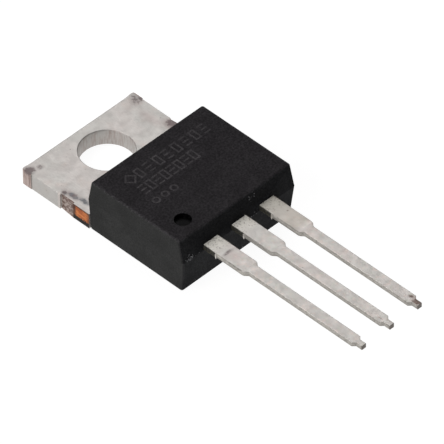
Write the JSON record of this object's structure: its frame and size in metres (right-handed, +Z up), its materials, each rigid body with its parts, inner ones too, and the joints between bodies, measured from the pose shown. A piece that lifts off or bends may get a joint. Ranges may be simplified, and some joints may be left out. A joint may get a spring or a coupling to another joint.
{
  "type": "voltage regulator",
  "caption": "Upright three-lead voltage regulator: a moulded black body on a flat bolt-down metal tab with a mounting hole, and straight stepped leads.",
  "frame": {"origin": "axis of the mounting hole, on the back face of the tab", "axes": "+Z up from the back face, out of the mounting hole; +Y towards the free end of the tab, so the leads run along -Y; +X across the leads, with the input lead on the -X side"},
  "size_m": [0.0102, 0.0283, 0.0043],
  "materials": {
    "tinned_copper": "matte tin plate over stamped copper, bare copper at the sheared tie-bar cuts",
    "moulding_resin": "black filled epoxy, fine spark-eroded grain",
    "solder": "dull solder, sealed inside",
    "silicon": "polished silicon, sealed inside",
    "bond_wire": "bright drawn wire, sealed inside"
  },
  "bodies": {
    "root": {"tab_and_ground_lead": "tinned_copper", "input_lead": "tinned_copper", "output_lead": "tinned_copper", "moulded_body": "moulding_resin", "die_solder": "solder", "regulator_die": "silicon", "input_wire_outer": "bond_wire", "input_wire_inner": "bond_wire", "output_wire_outer": "bond_wire", "output_wire_inner": "bond_wire", "ground_wire": "bond_wire"}
  },
  "joints": []
}
